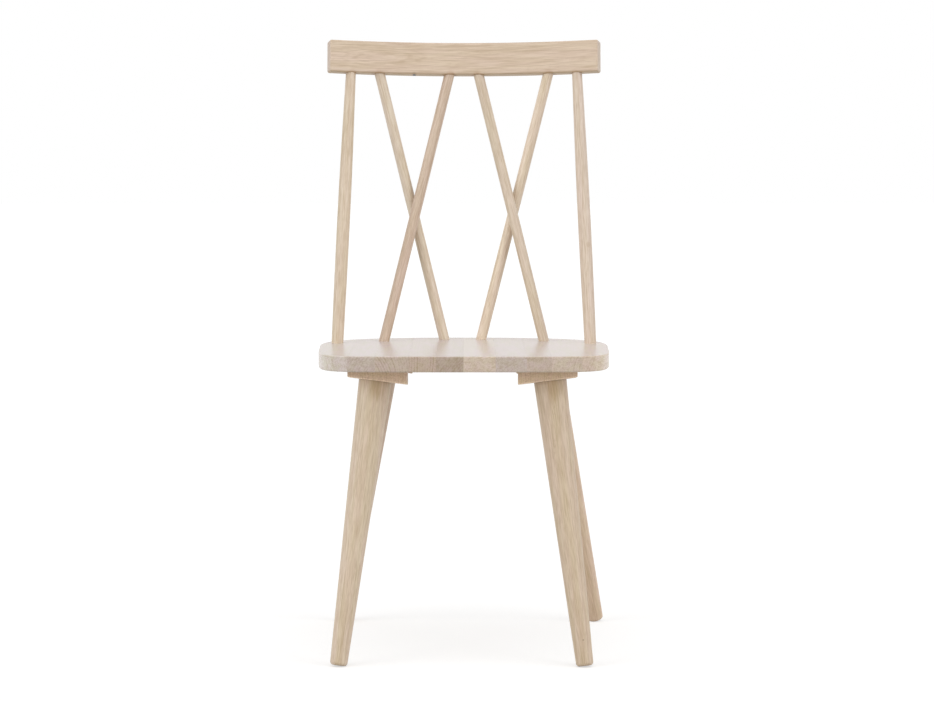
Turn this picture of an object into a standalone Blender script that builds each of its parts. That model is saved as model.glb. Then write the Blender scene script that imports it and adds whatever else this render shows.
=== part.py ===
"""Spindle-back dining chair in pale lime-waxed wood.

Metres, +Z up. The sitter faces -Y, and +X is on the right of someone who looks at the chair's front.
Left and right in the names are that viewer's. Heights are measured from the floor, and distances
back from the seat's front edge.
"""
import math

import bmesh
import bpy
from mathutils import Matrix, Vector
from mathutils.geometry import intersect_line_line

# Seat panel: staves glued side by side, with their joints running front to back.
seat_height = 0.455
seat_thickness = 0.0232
seat_width = 0.4394
seat_depth = 0.424
seat_widest_at = 0.245
seat_front_narrowing = 0.0069
seat_front_squareness = 7.2
seat_back_squareness = 2.63
seat_edge_radius = 0.0022
seat_joints = (-0.169, -0.129, -0.0795, -0.040, -0.0005, 0.0465, 0.0915, 0.1275, 0.172)
narrowest_stave = 0.020

# Crest rail: bowed round the sitter's back and leaning back with it.
crest_length = 0.4242
crest_height = 0.0503
crest_thickness = 0.022
crest_bow = 0.0273
crest_lean = math.radians(10.0)
crest_edge_radius = 0.0035
crest_underside_height = 0.8685
crest_from_seat_back = 0.007

# Outer spindles: slim at the crest, thickest in the middle.
outer_spindle_side_margin = 0.0247
outer_spindle_back_margin = 0.0633
outer_spindle_crest_margin = 0.0353
outer_spindle_seat_radius = 0.0089
outer_spindle_crest_radius = 0.0075
outer_spindle_swell = 0.0017

# Cross spindles: plain rods that pass each other in two crosses, one rod in front of the other.
# Shift is how far both rear rods' feet stand to the right of their mirrored places.
cross_spindle_radius = 0.0080
front_cross_seat_x = 0.1244
front_cross_crest_x = 0.0211
front_cross_back_margin = 0.0692
rear_cross_seat_x = 0.0288
rear_cross_seat_shift = -0.0020
rear_cross_crest_x = 0.1343

# Sockets that hold the spindles' ends, measured along the spindle.
seat_socket_depth = 0.017
crest_socket_depth = 0.018
spindle_end_chamfer = 0.001

# Legs: a straight taper, cut square at the foot. Skew is how far both legs of a pair lean to the right.
leg_top_radius = 0.0242
leg_foot_radius = 0.0127
foot_edge_radius = 0.0045
front_leg_side_margin = 0.0910
front_leg_from_seat_front = 0.0653
front_leg_side_splay = math.radians(7.1)
front_leg_skew = math.radians(-0.12)
front_leg_rake = math.radians(7.8)
rear_leg_side_margin = 0.0921
rear_leg_from_seat_back = 0.094
rear_leg_side_splay = math.radians(10.1)
rear_leg_skew = math.radians(0.83)
rear_leg_rake = math.radians(15.0)

# Wedge blocks between the seat and the legs. Their undersides slope with the legs' splay.
block_width = 0.0868
block_depth = 0.070
block_inward_shift = 0.0040
front_block_thickness = 0.0168
rear_block_thickness = 0.0150
front_block_tilt = math.radians(5.1)
rear_block_tilt = math.radians(1.7)
block_edge_radius = 0.0015

# The blocks and the legs stand under the seat as one base, which is turned a little about the seat's middle.
base_turn = math.radians(-0.6)

# Hanger bolts: screwed into the legs' tops, and turned into threaded inserts in the blocks.
bolt_radius = 0.004
bolt_length_in_leg = 0.040
bolt_length_in_block = 0.0108
bolt_point_length = 0.006
insert_outer_radius = 0.0062
insert_start = 0.002
insert_length = 0.009
metal_chamfer = 0.0006

# Wood screws that hold each block to the seat, in counterbored holes.
screw_shank_radius = 0.002
screw_head_radius = 0.0038
screw_head_height = 0.0022
screw_length_in_seat = 0.015
screw_point_length = 0.004
screw_wood_under_head = 0.0045
screw_recess_width = 0.0009
screw_recess_span = 0.0044
screw_recess_depth = 0.0013
counterbore_radius = 0.0048
screw_spread_x = 0.028
screw_spread_y = 0.022

# Every joint is drawn with this much air between its two surfaces.
fit_gap = 0.0003

# How far a cutter reaches past the surface that it opens.
cut_reach = 0.012

# Fineness of the round shapes.
outline_points = 72
crest_segments = 20
leg_sides = 40
spindle_sides = 24
outer_spindle_stations = 9
hardware_sides = 16
rounding_segments = 3

seat_underside = seat_height - seat_thickness
block_top = seat_underside - fit_gap
side_name = {-1: "left", 1: "right"}


def linear(value):
    """Turn a 0 to 255 screen value into the linear light that a material takes."""
    share = value / 255.0
    return share / 12.92 if share <= 0.04045 else ((share + 0.055) / 1.055) ** 2.4


def make_material(name, screen_colour, roughness, metallic=0.0):
    material = bpy.data.materials.new(name)
    material.use_nodes = True
    shader = material.node_tree.nodes["Principled BSDF"]
    colour = [linear(value) for value in screen_colour]
    shader.inputs["Base Color"].default_value = (*colour, 1.0)
    shader.inputs["Roughness"].default_value = roughness
    shader.inputs["Metallic"].default_value = metallic
    material.diffuse_color = (*colour, 1.0)
    material.roughness = roughness
    material.metallic = metallic
    return material


def clear_scene():
    for old in list(bpy.data.objects):
        bpy.data.objects.remove(old, do_unlink=True)


def make_collection(name):
    collection = bpy.data.collections.new(name)
    bpy.context.scene.collection.children.link(collection)
    return collection


clear_scene()
chair_parts = make_collection("spindle_back_chair")
cutters = make_collection("cutters")
chair = bpy.data.objects.new("chair", None)
chair_parts.objects.link(chair)

pale_rail_wood = (212, 192, 170)
pale_spindle_wood = (214, 196, 176)
pale_leg_wood = (205, 185, 161)
block_wood = (188, 164, 138)
stave_woods = ((202, 194, 182), (190, 175, 160), (186, 164, 146), (178, 162, 148), (196, 180, 163))
zinc_plate = (176, 176, 172)
brass_plate = (196, 176, 128)


def add_piece(name, mesh, screen_colour, roughness=0.45, metallic=0.0):
    """Make a named piece of the chair, with a material of its own."""
    if not mesh.materials:
        mesh.materials.append(None)
    piece = bpy.data.objects.new(name, mesh)
    piece.parent = chair
    chair_parts.objects.link(piece)
    piece.material_slots[0].link = "OBJECT"
    piece.material_slots[0].material = make_material(name + "_finish", screen_colour, roughness, metallic)
    return piece


def add_cutter(name, mesh):
    cutter = bpy.data.objects.new(name, mesh)
    cutters.objects.link(cutter)
    cutter.display_type = "WIRE"
    cutter.hide_render = True
    return cutter


def boolean(piece, cutter, operation="DIFFERENCE"):
    modifier = piece.modifiers.new(cutter.name, "BOOLEAN")
    modifier.operation = operation
    modifier.solver = "EXACT"
    modifier.object = cutter


def evaluated_mesh(source, name):
    """Freeze an object's shape, with its modifiers, as a plain mesh in its own space."""
    graph = bpy.context.evaluated_depsgraph_get()
    mesh = bpy.data.meshes.new_from_object(source.evaluated_get(graph))
    mesh.name = name
    mesh.materials.clear()
    return mesh


def shade_round(mesh, sharp_angle=math.radians(35.0)):
    mesh.shade_smooth()
    mesh.set_sharp_from_angle(angle=sharp_angle)


def box_mesh(name, low, high):
    """A box between two corners."""
    mesh = bpy.data.meshes.new(name)
    shape = bmesh.new()
    size = Vector(high) - Vector(low)
    centre = (Vector(high) + Vector(low)) / 2
    bmesh.ops.create_cube(shape, size=1.0, matrix=Matrix.Translation(centre) @ Matrix.Diagonal((*size, 1.0)))
    shape.to_mesh(mesh)
    shape.free()
    return mesh


def along(start, direction):
    """The matrix that puts local Z on a direction, with the origin at a start point."""
    return Matrix.Translation(start) @ Vector(direction).to_track_quat("Z", "Y").to_matrix().to_4x4()


def drill(name, start, end, radius, sides=spindle_sides, space=Matrix()):
    """A cylindrical cutter from one point to another, both given in a space of their own."""
    run = Vector(end) - Vector(start)
    mesh = bpy.data.meshes.new(name)
    shape = bmesh.new()
    middle = Matrix.Translation((0, 0, run.length / 2))
    bmesh.ops.create_cone(shape, cap_ends=True, segments=sides, radius1=radius, radius2=radius,
                          depth=run.length, matrix=middle)
    shape.to_mesh(mesh)
    shape.free()
    cutter = add_cutter(name, mesh)
    cutter.matrix_world = space @ along(start, run)
    return cutter


def turned_mesh(name, profile, sides):
    """Turn a profile of (radius, height) points, listed from the top down, round the Z axis."""
    mesh = bpy.data.meshes.new(name)
    shape = bmesh.new()
    points = [shape.verts.new((radius, 0, height)) for radius, height in profile]
    for upper, lower in zip(points, points[1:]):
        shape.edges.new((upper, lower))
    shape.to_mesh(mesh)
    shape.free()
    lathe = bpy.data.objects.new(name, mesh)
    cutters.objects.link(lathe)
    screw = lathe.modifiers.new("turn", "SCREW")
    screw.steps = sides
    screw.render_steps = sides
    screw.use_merge_vertices = True
    screw.merge_threshold = 0.00005
    turned = evaluated_mesh(lathe, name)
    bpy.data.objects.remove(lathe, do_unlink=True)
    shade_round(turned)
    return turned


def quarter_round(radius, centre_radius, centre_height, start_angle, end_angle):
    """Points on an arc of a turned profile, for a rounded edge."""
    points = []
    for step in range(rounding_segments + 1):
        angle = start_angle + (end_angle - start_angle) * step / rounding_segments
        points.append((centre_radius + radius * math.cos(angle), centre_height + radius * math.sin(angle)))
    return points


# The seat panel

def seat_outline():
    """The seat's plan: a square front half that narrows forwards, and a rounder back half."""
    points = []
    for step in range(outline_points):
        angle = 2 * math.pi * step / outline_points
        squareness = seat_back_squareness if math.sin(angle) >= 0 else seat_front_squareness
        reach = seat_depth - seat_widest_at if math.sin(angle) >= 0 else seat_widest_at
        across = math.copysign(abs(math.cos(angle)) ** (2 / squareness), math.cos(angle))
        back = math.copysign(abs(math.sin(angle)) ** (2 / squareness), math.sin(angle))
        half_width = seat_width / 2 - seat_front_narrowing * max(0.0, -back)
        points.append((across * half_width, seat_widest_at + back * reach))
    return points


def seat_back_edge(x):
    """How far back the seat's rear edge lies at a place across the seat."""
    across = abs(x) / (seat_width / 2)
    reach = (1 - across ** seat_back_squareness) ** (1 / seat_back_squareness)
    return seat_widest_at + reach * (seat_depth - seat_widest_at)


def make_seat_blank():
    """The whole seat panel before its sockets are drilled."""
    curve = bpy.data.curves.new("seat_blank", "CURVE")
    curve.dimensions = "2D"
    curve.fill_mode = "BOTH"
    curve.extrude = seat_thickness / 2 - seat_edge_radius
    curve.bevel_depth = seat_edge_radius
    curve.bevel_resolution = 1
    curve.offset = -seat_edge_radius
    spline = curve.splines.new("POLY")
    outline = seat_outline()
    spline.points.add(len(outline) - 1)
    for point, (x, y) in zip(spline.points, outline):
        point.co = (x, y, 0, 1)
    spline.use_cyclic_u = True
    outline_object = bpy.data.objects.new("seat_blank_outline", curve)
    cutters.objects.link(outline_object)
    mesh = evaluated_mesh(outline_object, "seat_blank")
    bpy.data.objects.remove(outline_object, do_unlink=True)
    mesh.transform(Matrix.Translation((0, 0, seat_height - seat_thickness / 2)))
    weld(mesh)
    return add_cutter("seat_blank", mesh)


def weld(mesh):
    """Join the loose caps of a curve's mesh, and turn its faces outwards."""
    shape = bmesh.new()
    shape.from_mesh(mesh)
    bmesh.ops.remove_doubles(shape, verts=shape.verts, dist=0.00002)
    bmesh.ops.recalc_face_normals(shape, faces=shape.faces)
    shape.to_mesh(mesh)
    shape.free()


def make_staves(blank):
    """Saw the drilled panel into its staves."""
    drilled = evaluated_mesh(blank, "seat_drilled")
    shade_round(drilled)
    limit = seat_width / 2 - narrowest_stave
    joints = [x for x in seat_joints if abs(x) < limit]
    outside = seat_width / 2 + cut_reach
    edges = [-outside, *joints, outside]
    for number, (left, right) in enumerate(zip(edges, edges[1:]), start=1):
        name = f"seat_stave_{number}"
        low = (left + fit_gap / 2, -cut_reach, seat_underside - cut_reach)
        high = (right - fit_gap / 2, seat_depth + cut_reach, seat_height + cut_reach)
        slab = add_cutter(name + "_slab", box_mesh(name + "_slab", low, high))
        stave = add_piece(name, drilled.copy(), stave_woods[number * 2 % len(stave_woods)])
        boolean(stave, slab, "INTERSECT")


# The crest rail

def crest_point(x, rise):
    """A point on the crest rail's middle surface: across the chair, and up the rail from its underside."""
    half = crest_length / 2
    radius = (half ** 2 + crest_bow ** 2) / (2 * crest_bow)
    forward = radius - math.sqrt(radius ** 2 - x ** 2)
    back = seat_depth - crest_from_seat_back - forward * math.cos(crest_lean) + rise * math.sin(crest_lean)
    height = crest_underside_height + forward * math.sin(crest_lean) + rise * math.cos(crest_lean)
    return Vector((x, back, height))


def make_crest_rail():
    half = crest_length / 2
    radius = (half ** 2 + crest_bow ** 2) / (2 * crest_bow)
    sweep = math.asin(half / radius)
    mesh = bpy.data.meshes.new("crest_rail")
    shape = bmesh.new()
    lower = []
    upper = []
    for step in range(crest_segments + 1):
        x = radius * math.sin(sweep * (2 * step / crest_segments - 1))
        lower.append(shape.verts.new(crest_point(x, 0)))
        upper.append(shape.verts.new(crest_point(x, crest_height)))
    for step in range(crest_segments):
        shape.faces.new((lower[step], lower[step + 1], upper[step + 1], upper[step]))
    shape.to_mesh(mesh)
    shape.free()
    rail = add_piece("crest_rail", mesh, pale_rail_wood)
    wall = rail.modifiers.new("thickness", "SOLIDIFY")
    wall.thickness = crest_thickness
    wall.offset = 0
    wall.use_even_offset = True
    edges = rail.modifiers.new("rounded_edges", "BEVEL")
    edges.width = crest_edge_radius
    edges.segments = 2
    edges.limit_method = "ANGLE"
    edges.angle_limit = math.radians(50.0)
    return rail


# The spindles

def outer_spindle_profile(length):
    """A swelling spindle whose two ends are straight where they sit in their sockets."""
    seat_end = seat_socket_depth
    crest_end = length - crest_socket_depth
    profile = [(0, length), (outer_spindle_crest_radius - spindle_end_chamfer, length),
               (outer_spindle_crest_radius, length - spindle_end_chamfer)]
    for station in range(outer_spindle_stations + 1):
        share = 1 - station / outer_spindle_stations
        taper = outer_spindle_crest_radius - outer_spindle_seat_radius
        radius = outer_spindle_seat_radius + taper * share + outer_spindle_swell * math.sin(math.pi * share)
        profile.append((radius, seat_end + (crest_end - seat_end) * share))
    profile.append((outer_spindle_seat_radius, spindle_end_chamfer))
    profile.append((outer_spindle_seat_radius - spindle_end_chamfer, 0))
    profile.append((0, 0))
    return profile


def cross_spindle_profile(length):
    radius = cross_spindle_radius
    return [(0, length), (radius - spindle_end_chamfer, length), (radius, length - spindle_end_chamfer),
            (radius, spindle_end_chamfer), (radius - spindle_end_chamfer, 0), (0, 0)]


def crossing_seat_y(front_seat, front_crest, rear_seat_x, rear_crest):
    """How far back the rear rod stands at the seat, so that it just clears the front rod."""
    wanted = 2 * cross_spindle_radius + fit_gap
    rear_y = front_seat.y + 2 * wanted
    for _ in range(12):
        rear_seat = Vector((rear_seat_x, rear_y, seat_height))
        near_front, near_rear = intersect_line_line(front_seat, front_crest, rear_seat, rear_crest)
        clearance = math.copysign((near_rear - near_front).length, near_rear.y - near_front.y)
        rear_y += 2 * (wanted - clearance)
    return rear_y


def add_spindle(name, seat_point, crest_middle, profile_of, seat_radius, crest_radius, seat, rail):
    """Stand a spindle between the seat and the crest, and drill both of its sockets."""
    axis = (crest_middle - seat_point).normalized()
    foot = seat_point - axis * seat_socket_depth
    head = crest_middle + axis * crest_socket_depth / 2
    seat_socket = drill(name + "_seat_socket", seat_point + axis * cut_reach, foot, seat_radius + fit_gap)
    boolean(seat, seat_socket)
    crest_mouth = head - axis * (crest_socket_depth + cut_reach)
    crest_socket = drill(name + "_crest_socket", crest_mouth, head, crest_radius + fit_gap)
    boolean(rail, crest_socket)
    length = (head - foot).length - 2 * fit_gap
    spindle = add_piece(name, turned_mesh(name, profile_of(length), spindle_sides), pale_spindle_wood)
    spindle.matrix_local = along(foot + axis * fit_gap, axis)


def make_spindles(seat, rail):
    crest_rise = crest_socket_depth / 2
    for side, label in side_name.items():
        outer_x = seat_width / 2 - outer_spindle_side_margin
        outer_seat = Vector((side * outer_x, seat_back_edge(outer_x) - outer_spindle_back_margin, seat_height))
        outer_crest = crest_point(side * (crest_length / 2 - outer_spindle_crest_margin), crest_rise)
        add_spindle("outer_spindle_" + label, outer_seat, outer_crest, outer_spindle_profile,
                    outer_spindle_seat_radius, outer_spindle_crest_radius, seat, rail)

        front_y = seat_back_edge(front_cross_seat_x) - front_cross_back_margin
        front_seat = Vector((side * front_cross_seat_x, front_y, seat_height))
        front_crest = crest_point(side * front_cross_crest_x, crest_rise)
        add_spindle("front_cross_spindle_" + label, front_seat, front_crest, cross_spindle_profile,
                    cross_spindle_radius, cross_spindle_radius, seat, rail)

        rear_crest = crest_point(side * rear_cross_crest_x, crest_rise)
        rear_x = side * rear_cross_seat_x + rear_cross_seat_shift
        rear_y = crossing_seat_y(front_seat, front_crest, rear_x, rear_crest)
        rear_seat = Vector((rear_x, rear_y, seat_height))
        add_spindle("rear_cross_spindle_" + label, rear_seat, rear_crest, cross_spindle_profile,
                    cross_spindle_radius, cross_spindle_radius, seat, rail)


# The corners: a wedge block, a leg and their hardware, all placed in the base's own space

def turned_base():
    """The base's space: the chair's, turned about an upright line through the middle of the seat."""
    middle = Matrix.Translation((0, seat_depth / 2, 0))
    return middle @ Matrix.Rotation(base_turn, 4, "Z") @ middle.inverted()


base_space = turned_base()


class Corner:
    """Where one leg meets the seat, and how its block and axis slope."""

    def __init__(self, side, is_front):
        self.side = side
        self.name = ("front_" if is_front else "rear_") + side_name[side]
        if is_front:
            leg_x = seat_width / 2 - front_leg_side_margin
            leg_y = front_leg_from_seat_front
            self.thickness = front_block_thickness
            side_slope = math.tan(front_leg_side_splay)
            side_lean = math.tan(front_leg_side_splay + side * front_leg_skew)
            self.back_fall = math.tan(front_block_tilt)
            back_slope = -math.tan(front_leg_rake)
        else:
            leg_x = seat_width / 2 - rear_leg_side_margin
            leg_y = seat_depth - rear_leg_from_seat_back
            self.thickness = rear_block_thickness
            side_slope = math.tan(rear_leg_side_splay)
            side_lean = math.tan(rear_leg_side_splay + side * rear_leg_skew)
            self.back_fall = -math.tan(rear_block_tilt)
            back_slope = math.tan(rear_leg_rake)
        self.outward_rise = side_slope
        self.block_x = side * (leg_x - block_inward_shift)
        self.leg_top = Vector((side * leg_x, leg_y, block_top - self.thickness))
        self.axis = Vector((-side * side_lean, -back_slope, 1.0)).normalized()
        self.underside_normal = Vector((-side * side_slope, self.back_fall, 1.0)).normalized()

    def underside(self, x, y):
        """The height of the block's sloping underside at a place below the seat."""
        outward = self.side * (x - self.leg_top.x)
        return self.leg_top.z + self.outward_rise * outward - self.back_fall * (y - self.leg_top.y)


def add_block(corner):
    """A block that is flat where it meets the seat and slopes underneath."""
    name = "wedge_block_" + corner.name
    low = (corner.block_x - block_width / 2, corner.leg_top.y - block_depth / 2, corner.leg_top.z)
    high = (corner.block_x + block_width / 2, corner.leg_top.y + block_depth / 2, block_top)
    mesh = box_mesh(name, low, high)
    for vertex in mesh.vertices:
        if vertex.co.z < (low[2] + high[2]) / 2:
            vertex.co.z = corner.underside(vertex.co.x, vertex.co.y)
    block = add_piece(name, mesh, block_wood)
    block.matrix_local = base_space
    edges = block.modifiers.new("eased_edges", "BEVEL")
    edges.width = block_edge_radius
    edges.segments = 2
    edges.limit_method = "ANGLE"
    insert_hole = drill(name + "_insert_hole", corner.leg_top - corner.axis * cut_reach,
                        corner.leg_top + corner.axis * (corner.thickness + cut_reach),
                        insert_outer_radius + fit_gap, space=base_space)
    boolean(block, insert_hole)
    return block


def add_leg(corner):
    """A tapered leg whose top is cut to the block's underside and whose foot just meets the floor."""
    name = "leg_" + corner.name
    lean = corner.axis.angle(Vector((0, 0, 1)))
    flat_radius = leg_foot_radius - foot_edge_radius
    sole_height = flat_radius * math.sin(lean) + foot_edge_radius * (1 - math.cos(lean))
    length = (corner.leg_top.z - sole_height) / math.cos(lean)
    taper = (leg_top_radius - leg_foot_radius) / length
    profile = [(0, cut_reach), (leg_top_radius + taper * cut_reach, cut_reach)]
    profile += quarter_round(foot_edge_radius, flat_radius, -length + foot_edge_radius, 0, -math.pi / 2)
    profile.append((0, -length))
    leg = add_piece(name, turned_mesh(name, profile, leg_sides), pale_leg_wood)
    leg.matrix_local = base_space @ along(corner.leg_top, corner.axis)

    reach = leg_top_radius * 2
    saw = add_cutter(name + "_top_cut", box_mesh(name + "_top_cut", (-reach, -reach, 0), (reach, reach, reach)))
    cut_plane = along(corner.leg_top - corner.underside_normal * fit_gap, corner.underside_normal)
    saw.matrix_world = base_space @ cut_plane
    boolean(leg, saw)
    bolt_end = corner.leg_top - corner.axis * (bolt_length_in_leg + fit_gap)
    bolt_hole = drill(name + "_bolt_hole", corner.leg_top + corner.axis * cut_reach, bolt_end,
                      bolt_radius + fit_gap, hardware_sides, base_space)
    boolean(leg, bolt_hole)


def hanger_bolt_mesh():
    """A headless bolt: a blunt machine end above, and a pointed wood end below."""
    top = bolt_length_in_block
    bottom = -bolt_length_in_leg
    profile = [(0, top), (bolt_radius - metal_chamfer, top), (bolt_radius, top - metal_chamfer),
               (bolt_radius, bottom + bolt_point_length), (metal_chamfer, bottom), (0, bottom)]
    return turned_mesh("hanger_bolt", profile, hardware_sides)


def threaded_insert_mesh():
    """A sleeve with eased ends, as a closed ring."""
    inner = bolt_radius + fit_gap
    outer = insert_outer_radius
    low = insert_start
    high = insert_start + insert_length
    profile = [(inner, high), (outer - metal_chamfer, high), (outer, high - metal_chamfer),
               (outer, low + metal_chamfer), (outer - metal_chamfer, low), (inner, low), (inner, high)]
    return turned_mesh("threaded_insert", profile, spindle_sides)


def block_screw_mesh():
    """A flat-headed wood screw that points up, with a cross recess in its head."""
    shoulder = screw_wood_under_head + fit_gap + screw_length_in_seat
    profile = [(0, shoulder), (screw_shank_radius, shoulder - screw_point_length), (screw_shank_radius, 0),
               (screw_head_radius, 0), (screw_head_radius, -screw_head_height), (0, -screw_head_height)]
    plain = turned_mesh("block_screw_plain", profile, hardware_sides)
    blank = add_cutter("block_screw_blank", plain)
    long = screw_recess_span / 2
    short = screw_recess_width / 2
    floor = -screw_head_height + screw_recess_depth
    below = -screw_head_height - cut_reach
    for name, x, y in (("recess_across", long, short), ("recess_along", short, long)):
        bar = add_cutter("screw_" + name, box_mesh("screw_" + name, (-x, -y, below), (x, y, floor)))
        boolean(blank, bar)
    return evaluated_mesh(blank, "block_screw")


def add_block_screws(corner, block, seat, screw_mesh):
    """Two screws on opposite corners of the block, clear of the leg."""
    head_seat = block_top - screw_wood_under_head
    for label, direction in (("inner", -1), ("outer", 1)):
        name = f"block_screw_{corner.name}_{label}"
        x = corner.block_x + corner.side * direction * screw_spread_x
        y = corner.leg_top.y + direction * screw_spread_y
        shank_hole_radius = screw_shank_radius + fit_gap
        below = Vector((x, y, corner.underside(x, y) - cut_reach))
        boolean(block, drill(name + "_counterbore", below, Vector((x, y, head_seat)),
                             counterbore_radius, hardware_sides, base_space))
        boolean(block, drill(name + "_shank_hole", below, Vector((x, y, block_top + cut_reach)),
                             shank_hole_radius, hardware_sides, base_space))
        pilot_end = Vector((x, y, seat_underside + screw_length_in_seat + fit_gap))
        boolean(seat, drill(name + "_pilot_hole", Vector((x, y, seat_underside - cut_reach)), pilot_end,
                            shank_hole_radius, hardware_sides, base_space))
        screw = add_piece(name, screw_mesh, zinc_plate, roughness=0.3, metallic=1.0)
        screw.matrix_local = base_space @ Matrix.Translation((x, y, head_seat - fit_gap))


def make_corners(seat):
    bolt_mesh = hanger_bolt_mesh()
    insert_mesh = threaded_insert_mesh()
    screw_mesh = block_screw_mesh()
    for is_front in (True, False):
        for side in side_name:
            corner = Corner(side, is_front)
            block = add_block(corner)
            add_leg(corner)
            on_axis = base_space @ along(corner.leg_top, corner.axis)
            bolt = add_piece("hanger_bolt_" + corner.name, bolt_mesh, zinc_plate, 0.35, 1.0)
            bolt.matrix_local = on_axis
            insert = add_piece("threaded_insert_" + corner.name, insert_mesh, brass_plate, 0.35, 1.0)
            insert.matrix_local = on_axis
            add_block_screws(corner, block, seat, screw_mesh)


def stand_at_origin():
    """Move the chair so that the origin is on the floor, midway between its front and its back."""
    bpy.context.view_layer.update()
    graph = bpy.context.evaluated_depsgraph_get()
    low = Vector((math.inf, math.inf, math.inf))
    high = -low
    for piece in chair_parts.objects:
        if piece.type != "MESH":
            continue
        shape = piece.evaluated_get(graph)
        for vertex in shape.data.vertices:
            place = shape.matrix_world @ vertex.co
            low = Vector(map(min, low, place))
            high = Vector(map(max, high, place))
    shift = Vector((-(low.x + high.x) / 2, -(low.y + high.y) / 2, -low.z))
    chair.location = shift
    for cutter in cutters.objects:
        cutter.matrix_world = Matrix.Translation(shift) @ cutter.matrix_world


seat_blank = make_seat_blank()
crest_rail = make_crest_rail()
make_spindles(seat_blank, crest_rail)
make_corners(seat_blank)
bpy.context.view_layer.update()
make_staves(seat_blank)
stand_at_origin()
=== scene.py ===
import math
from collections import namedtuple

import bmesh
import bpy
from mathutils import Matrix, Vector
from mathutils.geometry import intersect_line_line


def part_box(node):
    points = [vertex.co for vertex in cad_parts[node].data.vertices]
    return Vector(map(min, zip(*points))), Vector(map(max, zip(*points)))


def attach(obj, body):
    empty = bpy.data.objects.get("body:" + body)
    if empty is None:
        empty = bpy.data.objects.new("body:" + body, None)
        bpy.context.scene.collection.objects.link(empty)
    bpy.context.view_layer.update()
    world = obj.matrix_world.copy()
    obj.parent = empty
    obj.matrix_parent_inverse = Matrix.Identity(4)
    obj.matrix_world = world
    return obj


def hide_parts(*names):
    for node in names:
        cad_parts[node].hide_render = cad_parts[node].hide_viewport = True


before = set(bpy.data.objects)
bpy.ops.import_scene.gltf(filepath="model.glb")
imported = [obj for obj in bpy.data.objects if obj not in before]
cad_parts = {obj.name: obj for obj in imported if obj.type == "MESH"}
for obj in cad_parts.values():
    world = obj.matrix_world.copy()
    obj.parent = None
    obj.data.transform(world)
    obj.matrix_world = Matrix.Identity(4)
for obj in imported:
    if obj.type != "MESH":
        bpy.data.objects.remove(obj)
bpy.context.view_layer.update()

# The chair's sizes, in metres. They are the part's own, so each dressed piece fits its solid.
seat_height = 0.455
seat_thickness = 0.0232
seat_width = 0.4394
seat_depth = 0.424
seat_widest_at = 0.245
seat_front_narrowing = 0.0069
seat_front_squareness = 7.2
seat_back_squareness = 2.63
seat_edge_radius = 0.0022
seat_joints = (-0.169, -0.129, -0.0795, -0.040, -0.0005, 0.0465, 0.0915, 0.1275, 0.172)

crest_length = 0.4242
crest_height = 0.0503
crest_thickness = 0.022
crest_bow = 0.0273
crest_lean = math.radians(10.0)
crest_edge_radius = 0.0035
crest_underside_height = 0.8685
crest_from_seat_back = 0.007

outer_spindle_side_margin = 0.0247
outer_spindle_back_margin = 0.0633
outer_spindle_crest_margin = 0.0353
outer_spindle_seat_radius = 0.0089
outer_spindle_crest_radius = 0.0075
outer_spindle_swell = 0.0017

cross_spindle_radius = 0.0080
front_cross_seat_x = 0.1244
front_cross_crest_x = 0.0211
front_cross_back_margin = 0.0692
rear_cross_seat_x = 0.0288
rear_cross_seat_shift = -0.0020
rear_cross_crest_x = 0.1343

seat_socket_depth = 0.017
crest_socket_depth = 0.018
joint_gap = 0.0003

# The visible seat closes the part's air gaps down to a hair.
glue_line = 0.00006
socket_play = 0.00012

leg_top_radius = 0.0242
leg_foot_radius = 0.0127
foot_edge_radius = 0.0045
LegPlace = namedtuple("LegPlace", "x y side_splay skew rake block_thickness block_tilt")
leg_places = {
    "front": LegPlace(x=seat_width / 2 - 0.0910, y=0.0653, side_splay=math.radians(7.1), skew=math.radians(-0.12),
                      rake=math.radians(-7.8), block_thickness=0.0168, block_tilt=math.radians(5.1)),
    "rear": LegPlace(x=seat_width / 2 - 0.0921, y=seat_depth - 0.094, side_splay=math.radians(10.1),
                     skew=math.radians(0.83), rake=math.radians(15.0), block_thickness=0.0150,
                     block_tilt=math.radians(-1.7)),
}
block_width = 0.0868
block_depth = 0.070
block_inward_shift = 0.0040
block_edge_radius = 0.0015
base_turn = math.radians(-0.6)
insert_hole_radius = 0.0065
screw_spread = (0.028, 0.022)
counterbore_radius = 0.0048
screw_shank_radius = 0.0023
wood_under_screw = 0.0045

crease_angle = math.radians(35.0)

seat_low, seat_high = (Vector(corner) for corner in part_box("seat_stave_6"))
rail_low, rail_high = (Vector(corner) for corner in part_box("crest_rail"))
to_frame = Vector(((rail_low.x + rail_high.x) / 2, seat_low.y, seat_high.z - seat_height))
sides = {-1: "left", 1: "right"}


# Building nodes

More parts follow.
